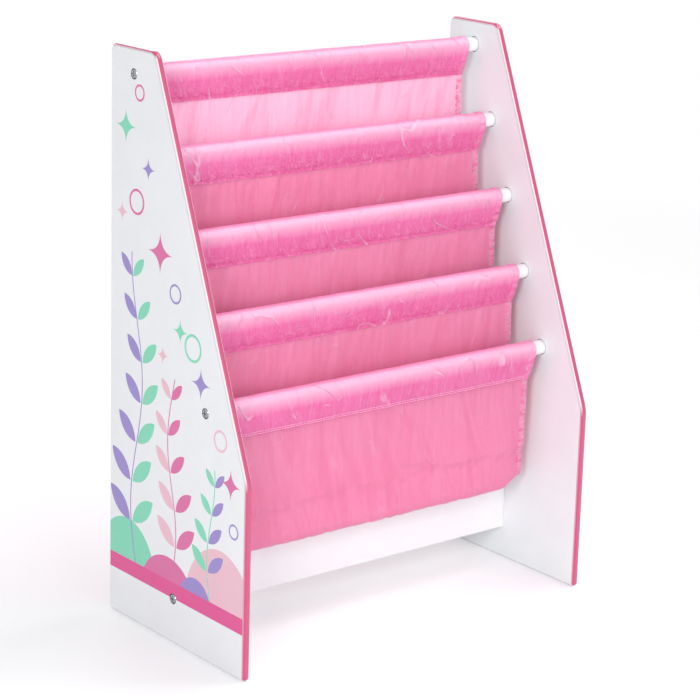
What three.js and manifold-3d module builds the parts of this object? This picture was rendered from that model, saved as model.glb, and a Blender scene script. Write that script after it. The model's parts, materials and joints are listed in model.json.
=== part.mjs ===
// Children's sling bookshelf: two shaped side panels, five round rods that step down and forward,
// a sewn cloth sling that hangs between the rods as four pockets, and a low cross board.
// Millimetres. +Z is up, +X to the right, the front faces -Y. The origin is on the floor, under the middle.
import * as THREE from "three";
import { mergeVertices } from "three/addons/utils/BufferGeometryUtils.js";
import Module from "manifold-3d";

const wasm = await Module();
wasm.setup();

// Overall
const overallWidth = 455;
const seatGap = 0.3;
const cutOverrun = 1;
const weldDistance = 0.001;

// Side panels: upright at the back, upright low down in front, then slanting back to a narrow top
const panelHeight = 600;
const panelDepth = 240;
const panelThickness = 8;
const panelTopDepth = 78;
const kneeHeight = 202;
const kneeRadius = 40;
const topFrontRadius = 12;
const topBackRadius = 8;
const footRadius = 4;
const panelEdgeRound = 3;

// Rods: steel tube in sockets in the panels' inner faces, in line with the slanted edge
const rodCount = 5;
const rodRadius = 8;
const rodWall = 1;
const rodSetback = 47;
const topRodDrop = 26.5;
const lowRodAboveKnee = 55.5;
const socketDepth = 4;
const socketClearance = 0.6;

// Screws with a domed head, sunk in the panels' outer faces
const screwHeadRadius = 5;
const screwHeadHeight = 2.4;
const screwHeadRim = 0.6;
const screwShankRadius = 2.7;
const screwTipChamfer = 0.6;
const screwClearance = 0.4;
const counterboreDepth = 1.6;
const counterboreClearance = 0.6;
const crossSlotWidth = 1.2;
const crossSlotLength = 5.6;
const crossSlotDepth = 1.3;
const rodScrewLength = 14;
const boardScrewLength = 36;

// Threaded inserts in the ends of the top and lowest rods
const insertLength = 16;
const insertChamfer = 0.5;

// Cross board with its barrel nuts and dowels
const boardHeight = 80;
const boardThickness = 12;
const boardGround = 36;
const boardBehindRod = 14;
const boardEdgeRound = 1;
const boardScrewRise = 12;
const nutFromEnd = 24;
const nutRadius = 5;
const nutLength = 9.4;
const nutClearance = 0.3;
const nutSlotWidth = 1.2;
const nutSlotDepth = 0.8;
const holeBeyondTip = 3;
const dowelRadius = 3;
const dowelLength = 26;
const dowelInPanel = 4.5;
const dowelClearance = 0.3;
const dowelChamfer = 0.8;
const dowelBelowTop = 16;

// Cloth: a sleeve round each rod, closed by a seam below it, and a pocket from each seam to the next
const clothThickness = 1;
const clothClearance = 0.35;
const clothEndGap = 11.5;
const sleeveDrop = 30;
const seamTab = 4;
const seamTabHalf = 0.25;
const sleeveTaper = 5;
const pocketDrop = 161;
const wallDraw = 3;
const wallDrawLength = 50;
const foldDepth = 1.5;
const hemLift = 5;
const hemLiftWidth = 26;
const foldCountShare = 3.5;
const foldPhaseShare = 0.3;

// Facets
const roundSteps = 32;
const cornerSteps = 6;
const domeSteps = 3;
const edgeSteps = 3;
const sleeveArcSteps = 12;
const backWallSteps = 7;
const frontWallSteps = 5;
const pocketArcSteps = 8;
const pocketWidthSteps = 16;

const outerFaceX = overallWidth / 2;
const innerFaceX = outerFaceX - panelThickness;
const frontY = -panelDepth / 2;
const backY = panelDepth / 2;
const sides = [
  { name: "left", sign: -1 },
  { name: "right", sign: 1 },
];

// Depth of the slanted front edge at a height.
function slantedEdgeY(height) {
  const run = panelDepth - panelTopDepth;
  return frontY + ((height - kneeHeight) * run) / (panelHeight - kneeHeight);
}

// The rods' centres, from the top one down, evenly spaced.
const topRodZ = panelHeight - topRodDrop;
const lowRodZ = kneeHeight + lowRodAboveKnee;
const rods = Array.from({ length: rodCount }, (_, i) => {
  const z = THREE.MathUtils.lerp(topRodZ, lowRodZ, i / (rodCount - 1));
  return { y: slantedEdgeY(z) + rodSetback, z };
});
const screwedRods = [0, rodCount - 1];

const board = {
  y: rods.at(-2).y + boardBehindRod + boardThickness / 2,
  top: boardGround + boardHeight,
  screwZ: boardGround + boardScrewRise,
  dowelZ: boardGround + boardHeight - dowelBelowTop,
  halfLength: innerFaceX - seatGap,
};

const finishes = {
  panel: finish("#e8eaee", 0.45, 0),
  rod: finish("#f4f3f5", 0.3, 0.1),
  cloth: finish("#f06fae", 0.55, 0),
  metal: finish("#b9bcc0", 0.3, 0.9),
  dowel: finish("#c9a878", 0.8, 0),
};

function finish(color, roughness, metalness) {
  return new THREE.MeshStandardMaterial({ color, roughness, metalness, side: THREE.FrontSide });
}

// Solids: a closed geometry becomes a solid for joining and cutting, and goes back to a geometry.
function toSolid(geometry) {
  const bare = geometry.clone();
  bare.deleteAttribute("normal");
  bare.deleteAttribute("uv");
  const merged = mergeVertices(bare, weldDistance);
  const mesh = new wasm.Mesh({
    numProp: 3,
    vertProperties: merged.attributes.position.array,
    triVerts: new Uint32Array(merged.index.array),
  });
  return new wasm.Manifold(mesh);
}

function toGeometry(solid) {
  const mesh = solid.getMesh();
  const geometry = new THREE.BufferGeometry();
  geometry.setAttribute("position", new THREE.BufferAttribute(mesh.vertProperties, mesh.numProp));
  geometry.setIndex(new THREE.BufferAttribute(mesh.triVerts, 1));
  geometry.computeVertexNormals();
  return geometry;
}

function cut(blank, cutters) {
  const solid = cutters.reduce((left, cutter) => left.subtract(toSolid(cutter)), toSolid(blank));
  return toGeometry(solid);
}

// A round bar along X from one x to another.
function barAlongX(radius, x0, x1, y, z) {
  const bar = new THREE.CylinderGeometry(radius, radius, Math.abs(x1 - x0), roundSteps);
  bar.rotateZ(Math.PI / 2);
  return bar.translate((x0 + x1) / 2, y, z);
}

// A round bar along Y from one y to another.
function barAlongY(radius, y0, y1, x, z) {
  const bar = new THREE.CylinderGeometry(radius, radius, Math.abs(y1 - y0), roundSteps);
  return bar.translate(x, (y0 + y1) / 2, z);
}

function boxBetween(low, high) {
  const box = new THREE.Box3(low, high);
  const size = box.getSize(new THREE.Vector3());
  const middle = box.getCenter(new THREE.Vector3());
  return new THREE.BoxGeometry(size.x, size.y, size.z).translate(middle.x, middle.y, middle.z);
}

// A turned piece along X: the profile's height runs outwards on the side with this sign.
function turnedAlongX(profile, sign) {
  const points = profile.map(([radius, height]) => new THREE.Vector2(radius, height));
  return new THREE.LatheGeometry(points, roundSteps).rotateZ((-sign * Math.PI) / 2);
}

// A closed outline, run anticlockwise, with each corner rounded by its own radius.
function roundedOutline(corners) {
  const shape = new THREE.Shape();
  corners.forEach(({ at, radius }, i) => {
    const back = corners.at(i - 1).at.clone().sub(at).normalize();
    const on = corners[(i + 1) % corners.length].at.clone().sub(at).normalize();
    const halfAngle = Math.acos(back.dot(on)) / 2;
    const inwards = back.clone().add(on).normalize();
    const centre = inwards.multiplyScalar(radius / Math.sin(halfAngle)).add(at);
    const middle = Math.atan2(at.y - centre.y, at.x - centre.x);
    const turn = Math.PI / 2 - halfAngle;
    shape.absarc(centre.x, centre.y, radius, middle - turn, middle + turn, false);
  });
  return shape;
}

// Turns a shape drawn in depth and height, and extruded, so that it runs along X from x0.
function standAlongX(geometry, x0) {
  const turn = new THREE.Matrix4().makeBasis(
    new THREE.Vector3(0, 1, 0),
    new THREE.Vector3(0, 0, 1),
    new THREE.Vector3(1, 0, 0),
  );
  return geometry.applyMatrix4(turn).translate(x0, 0, 0);
}

function panelOutline() {
  const corner = (y, z, radius) => ({ at: new THREE.Vector2(y, z), radius });
  return roundedOutline([
    corner(frontY, 0, footRadius),
    corner(backY, 0, footRadius),
    corner(backY, panelHeight, topBackRadius),
    corner(backY - panelTopDepth, panelHeight, topFrontRadius),
    corner(frontY, kneeHeight, kneeRadius),
  ]);
}

// The screw's hole through the panel's web and the recess that takes its head.
function screwHoles(sign, y, z) {
  const outer = sign * (outerFaceX + cutOverrun);
  const inner = sign * (innerFaceX - cutOverrun);
  const recessFloor = sign * (outerFaceX - counterboreDepth);
  return [
    barAlongX(screwShankRadius + screwClearance, inner, outer, y, z),
    barAlongX(screwHeadRadius + counterboreClearance, recessFloor, outer, y, z),
  ];
}

function sidePanel(sign) {
  const blank = new THREE.ExtrudeGeometry(panelOutline(), {
    depth: panelThickness - 2 * panelEdgeRound,
    curveSegments: cornerSteps,
    bevelEnabled: true,
    bevelSegments: edgeSteps,
    bevelThickness: panelEdgeRound,
    bevelSize: panelEdgeRound,
    bevelOffset: -panelEdgeRound,
  });
  const low = sign > 0 ? innerFaceX : -outerFaceX;
  standAlongX(blank, low + panelEdgeRound);
  const mouth = sign * (innerFaceX - cutOverrun);
  const socketFloor = sign * (innerFaceX + socketDepth);
  const dowelFloor = sign * (innerFaceX + dowelInPanel);
  const sockets = rods.map(({ y, z }) => barAlongX(rodRadius + socketClearance, mouth, socketFloor, y, z));
  const rodScrewHoles = screwedRods.flatMap((i) => screwHoles(sign, rods[i].y, rods[i].z));
  const boardScrewHoles = screwHoles(sign, board.y, board.screwZ);
  const dowelHole = barAlongX(dowelRadius + dowelClearance, mouth, dowelFloor, board.y, board.dowelZ);
  return cut(blank, [...sockets, ...rodScrewHoles, ...boardScrewHoles, dowelHole]);
}

// A tube from socket floor to socket floor.
function rod({ y, z }) {
  const halfLength = innerFaceX + socketDepth - seatGap;
  const bore = rodRadius - rodWall;
  const profile = [
    [bore, -halfLength],
    [rodRadius, -halfLength],
    [rodRadius, halfLength],
    [bore, halfLength],
    [bore, -halfLength],
  ];
  return turnedAlongX(profile, 1).translate(0, y, z);
}

// A threaded insert, flush with the rod's end.
function rodInsert(sign, { y, z }) {
  const outer = rodRadius - rodWall - seatGap;
  const bore = screwShankRadius + seatGap;
  const profile = [
    [bore, -insertLength],
    [outer - insertChamfer, -insertLength],
    [outer, -insertLength + insertChamfer],
    [outer, 0],
    [bore, 0],
    [bore, -insertLength],
  ];
  const end = innerFaceX + socketDepth - seatGap;
  return turnedAlongX(profile, sign).translate(sign * end, y, z);
}

// A screw whose head lies in its recess, with a cross slot in the dome.
function screw(sign, length, y, z) {
  const dome = Array.from({ length: domeSteps + 1 }, (_, i) => {
    const angle = (i / domeSteps) * (Math.PI / 2);
    const rise = (screwHeadHeight - screwHeadRim) * Math.sin(angle);
    return [i < domeSteps ? screwHeadRadius * Math.cos(angle) : 0, screwHeadRim + rise];
  });
  const profile = [
    [0, -length],
    [screwShankRadius - screwTipChamfer, -length],
    [screwShankRadius, -length + screwTipChamfer],
    [screwShankRadius, 0],
    [screwHeadRadius, 0],
    ...dome,
  ];
  const seat = outerFaceX - counterboreDepth + seatGap;
  const blank = turnedAlongX(profile, sign).translate(sign * seat, y, z);
  const floor = sign * (seat + screwHeadHeight - crossSlotDepth);
  const open = sign * (seat + screwHeadHeight + cutOverrun);
  const slot = (halfY, halfZ) =>
    boxBetween(
      new THREE.Vector3(Math.min(floor, open), y - halfY, z - halfZ),
      new THREE.Vector3(Math.max(floor, open), y + halfY, z + halfZ),
    );
  const halfWidth = crossSlotWidth / 2;
  const halfLength = crossSlotLength / 2;
  return cut(blank, [slot(halfWidth, halfLength), slot(halfLength, halfWidth)]);
}

// The cross board: rounded long edges, and at each end the holes for its screw, nut and dowel.
function crossBoard() {
  const corner = (y, z) => ({ at: new THREE.Vector2(y, z), radius: boardEdgeRound });
  const front = board.y - boardThickness / 2;
  const back = board.y + boardThickness / 2;
  const outline = roundedOutline([
    corner(front, boardGround),
    corner(back, boardGround),
    corner(back, board.top),
    corner(front, board.top),
  ]);
  const blank = new THREE.ExtrudeGeometry(outline, {
    depth: 2 * board.halfLength,
    curveSegments: domeSteps,
    bevelEnabled: false,
  });
  standAlongX(blank, -board.halfLength);
  const screwEnd = outerFaceX - counterboreDepth - boardScrewLength - holeBeyondTip;
  const dowelEnd = innerFaceX + dowelInPanel - dowelLength - seatGap;
  const open = board.halfLength + cutOverrun;
  const nutFloor = board.y - nutLength / 2 - nutClearance;
  const holes = sides.flatMap(({ sign }) => [
    barAlongX(screwShankRadius + screwClearance, sign * screwEnd, sign * open, board.y, board.screwZ),
    barAlongX(dowelRadius + dowelClearance, sign * dowelEnd, sign * open, board.y, board.dowelZ),
    barAlongY(nutRadius + nutClearance, nutFloor, back + cutOverrun, sign * nutX(), board.screwZ),
  ]);
  return cut(blank, holes);
}

function nutX() {
  return board.halfLength - nutFromEnd;
}

// A barrel nut across the board, with the screw's bore through it and a slot to turn it by.
function barrelNut(sign) {
  const x = sign * nutX();
  const front = board.y - nutLength / 2;
  const back = board.y + nutLength / 2;
  const blank = barAlongY(nutRadius, front, back, x, board.screwZ);
  const reach = nutRadius + cutOverrun;
  const bore = barAlongX(screwShankRadius + seatGap, x - reach, x + reach, board.y, board.screwZ);
  const slot = boxBetween(
    new THREE.Vector3(x - reach, back - nutSlotDepth, board.screwZ - nutSlotWidth / 2),
    new THREE.Vector3(x + reach, back + cutOverrun, board.screwZ + nutSlotWidth / 2),
  );
  return cut(blank, [bore, slot]);
}

function dowel(sign) {
  const profile = [
    [0, -dowelLength],
    [dowelRadius - dowelChamfer, -dowelLength],
    [dowelRadius, -dowelLength + dowelChamfer],
    [dowelRadius, -dowelChamfer],
    [dowelRadius - dowelChamfer, 0],
    [0, 0],
  ];
  const end = innerFaceX + dowelInPanel - seatGap;
  return turnedAlongX(profile, sign).translate(sign * end, board.y, board.dowelZ);
}

// Cloth solids: rows of points on the cloth's two faces, joined into one closed skin.
// Rows follow each other along +X. Seen from +X, the outer face is on the right of each row's run.
function clothSolid(outer, inner, closedSection) {
  const rows = outer.length;
  const columns = outer[0].length;
  const positions = [...outer.flat(), ...inner.flat()].flatMap((p) => [p.x, p.y, p.z]);
  const outerAt = (i, j) => i * columns + (j % columns);
  const innerAt = (i, j) => rows * columns + outerAt(i, j);
  const index = [];
  const quad = (a, b, c, d) => index.push(a, c, b, a, d, c);
  const spans = closedSection ? columns : columns - 1;
  for (let j = 0; j < spans; j++) {
    for (let i = 0; i < rows - 1; i++) {
      quad(outerAt(i, j), outerAt(i + 1, j), outerAt(i + 1, j + 1), outerAt(i, j + 1));
      quad(innerAt(i, j), innerAt(i, j + 1), innerAt(i + 1, j + 1), innerAt(i + 1, j));
    }
    quad(outerAt(0, j), outerAt(0, j + 1), innerAt(0, j + 1), innerAt(0, j));
    quad(outerAt(rows - 1, j + 1), outerAt(rows - 1, j), innerAt(rows - 1, j), innerAt(rows - 1, j + 1));
  }
  if (!closedSection) {
    for (let i = 0; i < rows - 1; i++) {
      const last = columns - 1;
      quad(outerAt(i + 1, 0), outerAt(i, 0), innerAt(i, 0), innerAt(i + 1, 0));
      quad(outerAt(i, last), outerAt(i + 1, last), innerAt(i + 1, last), innerAt(i, last));
    }
  }
  const geometry = new THREE.BufferGeometry();
  geometry.setAttribute("position", new THREE.Float32BufferAttribute(positions, 3));
  geometry.setIndex(index);
  geometry.computeVertexNormals();
  return geometry;
}

// A teardrop round the rod: an arc over the top, then two straight legs down to the seam.
function teardrop(radius, footHalf, footDrop) {
  const legReach = Math.hypot(footHalf, footDrop);
  const start = Math.atan2(-footDrop, footHalf) + Math.acos(radius / legReach);
  const arc = Array.from({ length: sleeveArcSteps + 1 }, (_, i) => {
    const angle = start + ((Math.PI - 2 * start) * i) / sleeveArcSteps;
    return new THREE.Vector2(radius * Math.cos(angle), radius * Math.sin(angle));
  });
  return [new THREE.Vector2(footHalf, -footDrop), ...arc, new THREE.Vector2(-footHalf, -footDrop)];
}

const clothHalfWidth = innerFaceX - clothEndGap;
const seamHalfWidth = clothHalfWidth - sleeveTaper;

// A sleeve, a little narrower at its seam than over the rod.
function rodSleeve({ y, z }) {
  const inside = rodRadius + clothClearance;
  const inner = teardrop(inside, seamTabHalf, sleeveDrop - seamTab);
  const outer = teardrop(inside + clothThickness, clothThickness, sleeveDrop);
  const halfWidthAt = (point) => clothHalfWidth - (sleeveTaper * Math.max(0, -point.y)) / sleeveDrop;
  const ring = (section, sign) =>
    section.map((point, j) => new THREE.Vector3(sign * halfWidthAt(outer[j]), y + point.x, z + point.y));
  const ends = [-1, 1];
  return clothSolid(
    ends.map((sign) => ring(outer, sign)),
    ends.map((sign) => ring(inner, sign)),
    true,
  );
}

const smooth = (t) => THREE.MathUtils.smoothstep(t, 0, 1);

// The middle line of a pocket's cloth from the side: down the back wall, round the bottom, up the front.
// Each point says how far down it hangs, as a share of its wall.
function pocketLine(backRod, frontRod) {
  const layer = (clothThickness + seatGap) / 2;
  const seam = sleeveDrop + seatGap;
  const backTop = { y: backRod.y - layer, z: backRod.z - seam };
  const frontTop = { y: frontRod.y + layer, z: frontRod.z - seam };
  const radius = (backTop.y - frontTop.y) / 2 - wallDraw;
  const middleY = (backTop.y + frontTop.y) / 2;
  const bendZ = frontRod.z - pocketDrop + clothThickness / 2 + radius;
  const wall = (top, sign, steps) =>
    Array.from({ length: steps + 1 }, (_, i) => {
      const hang = i / steps;
      const down = (top.z - bendZ) * hang;
      const y = top.y - sign * wallDraw * smooth(down / wallDrawLength);
      return { y, z: top.z - down, hang };
    });
  const bend = Array.from({ length: pocketArcSteps - 1 }, (_, i) => {
    const angle = ((i + 1) / pocketArcSteps) * Math.PI;
    return { y: middleY + radius * Math.cos(angle), z: bendZ - radius * Math.sin(angle), hang: 1 };
  });
  return [...wall(backTop, 1, backWallSteps), ...bend, ...wall(frontTop, -1, frontWallSteps).reverse()];
}

// A pocket: soft upright folds that grow towards the bottom, and hems that ride up at the lower corners.
function pocketSling(index) {
  const line = pocketLine(rods[index], rods[index + 1]);
  const sideOf = (i) => {
    const before = line[Math.max(0, i - 1)];
    const after = line[Math.min(line.length - 1, i + 1)];
    return new THREE.Vector2(after.z - before.z, before.y - after.y).normalize();
  };
  const skin = (offset) =>
    Array.from({ length: pocketWidthSteps + 1 }, (_, i) => {
      const across = i / pocketWidthSteps;
      const x = (2 * across - 1) * seamHalfWidth;
      const fold = foldDepth * Math.sin(2 * Math.PI * (foldCountShare * across + foldPhaseShare * index));
      const lift = hemLift * smooth(1 - (seamHalfWidth - Math.abs(x)) / hemLiftWidth);
      return line.map((point, j) => {
        const side = sideOf(j).multiplyScalar(offset);
        const y = point.y + side.x + fold * point.hang;
        const z = point.z + side.y + lift * point.hang;
        return new THREE.Vector3(x, y, z);
      });
    });
  return clothSolid(skin(clothThickness / 2), skin(-clothThickness / 2), false);
}

function mesh(name, geometry, material) {
  const piece = new THREE.Mesh(geometry, material);
  piece.name = name;
  return piece;
}

function group(name, pieces) {
  const made = new THREE.Group();
  made.name = name;
  made.add(...pieces);
  return made;
}

function sideAssembly({ name, sign }) {
  const ends = screwedRods.flatMap((i) => [
    mesh(`rod_${i + 1}_insert_${name}`, rodInsert(sign, rods[i]), finishes.metal),
    mesh(`rod_${i + 1}_screw_${name}`, screw(sign, rodScrewLength, rods[i].y, rods[i].z), finishes.metal),
  ]);
  return group(`${name}_side`, [
    mesh(`side_panel_${name}`, sidePanel(sign), finishes.panel),
    ...ends,
    mesh(`board_screw_${name}`, screw(sign, boardScrewLength, board.y, board.screwZ), finishes.metal),
    mesh(`barrel_nut_${name}`, barrelNut(sign), finishes.metal),
    mesh(`board_dowel_${name}`, dowel(sign), finishes.dowel),
  ]);
}

const rodGroup = group(
  "rods",
  rods.map((place, i) => mesh(`rod_${i + 1}`, rod(place), finishes.rod)),
);
const clothGroup = group("sling", [
  ...rods.map((place, i) => mesh(`rod_sleeve_${i + 1}`, rodSleeve(place), finishes.cloth)),
  ...rods.slice(1).map((_, i) => mesh(`pocket_sling_${i + 1}`, pocketSling(i), finishes.cloth)),
]);

export default group("sling_bookshelf", [
  ...sides.map(sideAssembly),
  mesh("cross_board", crossBoard(), finishes.panel),
  rodGroup,
  clothGroup,
]);
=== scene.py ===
"""Looks of a children's sling bookshelf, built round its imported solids.

Metres. +Z is up, +X to the right, the front faces -Y, and the origin is on the floor under the middle.
"""

import json
import logging
import math
from collections.abc import Sequence
from dataclasses import dataclass, field, replace
from enum import Enum
from functools import cached_property

import bpy
import numpy as np
from mathutils import Matrix, Vector, noise

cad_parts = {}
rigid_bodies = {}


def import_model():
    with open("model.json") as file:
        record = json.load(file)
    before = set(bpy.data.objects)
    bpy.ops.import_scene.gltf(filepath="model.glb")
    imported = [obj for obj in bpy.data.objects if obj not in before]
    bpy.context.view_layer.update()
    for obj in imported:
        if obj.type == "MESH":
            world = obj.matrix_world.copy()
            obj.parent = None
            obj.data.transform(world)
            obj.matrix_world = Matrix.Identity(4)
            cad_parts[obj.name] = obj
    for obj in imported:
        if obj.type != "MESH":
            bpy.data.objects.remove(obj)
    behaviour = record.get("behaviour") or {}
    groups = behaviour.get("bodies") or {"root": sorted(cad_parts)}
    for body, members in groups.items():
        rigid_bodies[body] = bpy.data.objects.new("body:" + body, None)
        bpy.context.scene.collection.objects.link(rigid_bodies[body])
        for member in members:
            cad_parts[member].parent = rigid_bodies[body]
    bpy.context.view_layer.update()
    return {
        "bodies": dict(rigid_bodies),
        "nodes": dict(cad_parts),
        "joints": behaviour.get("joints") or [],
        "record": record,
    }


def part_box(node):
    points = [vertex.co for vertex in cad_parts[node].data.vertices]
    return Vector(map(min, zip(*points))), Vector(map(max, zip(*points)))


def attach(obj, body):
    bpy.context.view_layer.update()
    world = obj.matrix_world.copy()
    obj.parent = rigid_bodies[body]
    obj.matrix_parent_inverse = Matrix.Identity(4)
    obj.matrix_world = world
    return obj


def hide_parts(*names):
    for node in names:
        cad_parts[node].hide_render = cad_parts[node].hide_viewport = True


LOG = logging.getLogger("bookshelf")
BODY = "root"
OUTER_SKIN = "outer_skin"
RODS = 5
SLEEVE_HALF = 0.2055
SEAM_HALF = 0.203
HEM = 0.0084

Colour = tuple[float, float, float, float]
Place = tuple[float, float, float]
Socket = bpy.types.NodeSocket
Value = Socket | float | int | Sequence[float]


def linear(red: int, green: int, blue: int) -> Colour:
    """Gives a colour written in 0 to 255 as the shaders hold it.

    Args:
        red: Red, 0 to 255.
        green: Green, 0 to 255.
        blue: Blue, 0 to 255.

    Returns:
        The linear colour with an alpha of 1.
    """
    parts = [c / 255 for c in (red, green, blue)]
    lit = [c / 12.92 if c <= 0.04045 else ((c + 0.055) / 1.055) ** 2.4 for c in parts]
    return (lit[0], lit[1], lit[2], 1.0)


class Ink(Enum):
    """The colours printed on the panels' outer faces."""

    WHITE = linear(240, 241, 244)
    MINT = linear(134, 218, 188)
    LILAC = linear(158, 140, 206)
    BLUSH = linear(238, 192, 206)
    ROSE = linear(222, 112, 166)
    STRIPE = linear(228, 84, 150)


class Pad:
    """The node tree of a material or of the world while it is being drawn."""

    def __init__(self, owner: bpy.types.Material | bpy.types.World) -> None:
        """Starts an empty tree.

        Args:
            owner: The new material or world.
        """
        owner.use_nodes = True
        self.owner = owner
        self.tree = owner.node_tree
        self.tree.nodes.clear()

    @cached_property
    def coordinates(self) -> bpy.types.Node:
        """The node that tells where on the piece a point is."""
        return self.put("TexCoord", {})

    def put(self, kind: str, inputs: dict[int | str, Value], **settings: object) -> bpy.types.Node:
        """Adds a node and fills or joins its inputs.

        Args:
            kind: The node's type without its "ShaderNode" beginning.
            inputs: Each input's name or number, with a value or the socket that feeds it.
            **settings: The node's own properties.

        Returns:
            The node.
        """
        node = self.tree.nodes.new("ShaderNode" + kind)
        for key, value in settings.items():
            setattr(node, key, value)
        for key, value in inputs.items():
            if isinstance(value, bpy.types.NodeSocket):
                self.tree.links.new(value, node.inputs[key])
            else:
                node.inputs[key].default_value = value
        return node

    def sum(self, operation: str, *values: Value) -> Socket:
        """Adds a Math node with the operation of that name."""
        return self.put("Math", dict(enumerate(values)), operation=operation).outputs[0]

    def arrow(self, operation: str, *values: Value) -> Socket:
        """Adds a Vector Math node, which gives a number for a length and a vector otherwise."""
        node = self.put("VectorMath", dict(enumerate(values)), operation=operation)
        return node.outputs["Value" if operation == "LENGTH" else "Vector"]

    def split(self, vector: Socket) -> tuple[Socket, Socket, Socket]:
        """Takes a vector apart into X, Y and Z."""
        node = self.put("SeparateXYZ", {0: vector})
        return node.outputs[0], node.outputs[1], node.outputs[2]

    def join(self, x: Value, y: Value, z: Value) -> Socket:
        """Puts three numbers together as a vector."""
        return self.put("CombineXYZ", {0: x, 1: y, 2: z}).outputs[0]

    def blend(self, share: Value, first: Value, second: Value, way: str = "MIX") -> Socket:
        """Mixes two colours: a share of 0 gives the first, and 1 the second."""
        return self.put("Mix", {0: share, 6: first, 7: second}, data_type="RGBA", blend_type=way).outputs[2]

    def grain(self, vector: Socket, scale: float, detail: float = 2.0, warp: float = 0.0) -> Socket:
        """Adds a noise of a scale, with octaves of detail and a warp, which gives a number around 0.5."""
        inputs = {"Vector": vector, "Scale": scale, "Detail": detail, "Distortion": warp}
        return self.put("TexNoise", inputs).outputs["Fac"]

    def span(self, value: Socket, low: float, high: float, to_low: float = 0.0, to_high: float = 1.0) -> Socket:
        """Maps a number from low and high to two other numbers, and keeps it between them."""
        return self.put("MapRange", {0: value, 1: low, 2: high, 3: to_low, 4: to_high}).outputs[0]

    def seen(self) -> Socket:
        """Gives 1 where the camera looks, also off a gloss or through glass, and 0 where light falls.

        Returns:
            The number.
        """
        path = self.put("LightPath", {})
        share = self.sum("MAXIMUM", path.outputs["Is Camera Ray"], path.outputs["Is Glossy Ray"])
        return self.sum("MAXIMUM", share, path.outputs["Is Transmission Ray"])

    def raise_by(self, height: Socket, depth: float, under: Socket | None = None, strength: float = 1.0) -> Socket:
        """Adds a bump.

        Args:
            height: The relief, 0 to 1.
            depth: Its depth in metres.
            under: Another bump's normal that this one lies on.
            strength: Its strength.

        Returns:
            The normal.
        """
        inputs: dict[int | str, Value] = {"Height": height, "Distance": depth, "Strength": strength}
        if under is not None:
            inputs["Normal"] = under
        return self.put("Bump", inputs).outputs[0]

    def finish(self, shader: bpy.types.Node) -> bpy.types.Material:
        """Joins the last shader to the output and gives the finished material."""
        self.put("OutputMaterial", {0: shader.outputs[0]})
        return self.owner


class BoardPad(Pad):
    """The node tree of a board's material, with each place on the board."""

    def __init__(self, name: str) -> None:
        """Starts an empty tree.

        Args:
            name: The material's name.
        """
        super().__init__(bpy.data.materials.new(name))
        self.place = self.coordinates.outputs["Object"]
        self.x, self.y, self.z = self.split(self.place)

    @cached_property
    def side_view(self) -> Socket:
        """Each place seen from the side, as a vector of depth and height."""
        return self.join(self.y, self.z, 0.0)


class ClothPad(Pad):
    """The node tree of a cloth's material, with the cloth's own map in metres."""

    def __init__(self, name: str) -> None:
        """Starts an empty tree.

        Args:
            name: The material's name.
        """
        super().__init__(bpy.data.materials.new(name))
        self.flat = self.coordinates.outputs["UV"]
        self.across, self.along, _ = self.split(self.flat)


@dataclass(frozen=True)
class Spot:
    """A place on a panel seen from the side: front to back, and up."""

    y: float
    z: float

    def away(self, pad: BoardPad) -> Socket:
        """Gives the way from here to each place on the panel."""
        return pad.arrow("SUBTRACT", pad.side_view, (self.y, self.z, 0))


@dataclass(frozen=True)
class Sprig:
    """A swaying stem with pairs of leaves that shrink and rise towards its tip."""

    foot: Spot
    height: float
    sway: float
    sway_length: float
    pairs: int
    leaf: float
    stem_ink: Ink
    leaf_inks: tuple[Ink, Ink]
    stem_width: float = 0.0016
    bare_tip: float = 0.6
    first_leaf: float = 1.15
    leaf_loss: float = 0.55
    first_tilt: float = 38.0
    tilt_gain: float = 10.0
    leaf_off: float = 0.56
    leaf_width: float = 0.2

    def draw(self, pad: BoardPad, colour: Value) -> Socket:
        """Draws the stem, then its leaves.

        Args:
            pad: The tree.
            colour: The colour so far.

        Returns:
            The colour so far.
        """
        turn = 2 * math.pi / self.sway_length
        wave = pad.sum("SINE", pad.sum("MULTIPLY_ADD", pad.z, turn, -turn * self.foot.z))
        middle = pad.sum("MULTIPLY_ADD", wave, self.sway, self.foot.y)
        on_line = pad.sum("COMPARE", pad.sum("SUBTRACT", pad.y, middle), 0.0, self.stem_width / 2)
        in_reach = pad.sum("COMPARE", pad.z, self.foot.z + self.height / 2, self.height / 2)
        colour = pad.blend(pad.sum("MULTIPLY", on_line, in_reach), colour, self.stem_ink.value)
        for i in range(self.pairs):
            share = (i + 1) / (self.pairs + self.bare_tip)
            at_z = self.foot.z + self.height * share
            at_y = self.foot.y + self.sway * math.sin(turn * self.height * share)
            length = self.leaf * (self.first_leaf - self.leaf_loss * share)
            reach = length * self.leaf_off
            tilt = math.radians(self.first_tilt + self.tilt_gain * share)
            for angle, ink in zip((math.pi - tilt, tilt), self.leaf_inks):
                spot = Spot(at_y + reach * math.cos(angle), at_z + reach * math.sin(angle))
                colour = self.leaf_on(pad, colour, spot, angle, length, ink)
        return colour

    def leaf_on(self, pad: BoardPad, colour: Value, spot: Spot, angle: float, length: float, ink: Ink) -> Socket:
        """Draws one pointed leaf, the overlap of two discs.

        Args:
            pad: The tree.
            colour: The colour so far.
            spot: The leaf's middle.
            angle: Its direction.
            length: Its length.
            ink: Its ink.

        Returns:
            The colour so far.
        """
        half, wide = length / 2, length * self.leaf_width
        radius = (half**2 + wide**2) / (2 * wide)
        turning = {"Vector": spot.away(pad), "Angle": -angle}
        turned = pad.put("VectorRotate", turning, rotation_type="Z_AXIS").outputs[0]
        folded = pad.arrow("ADD", pad.arrow("ABSOLUTE", turned), (0, radius - wide, 0))
        inside = pad.sum("LESS_THAN", pad.arrow("LENGTH", folded), radius)
        return pad.blend(inside, colour, ink.value)


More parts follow.
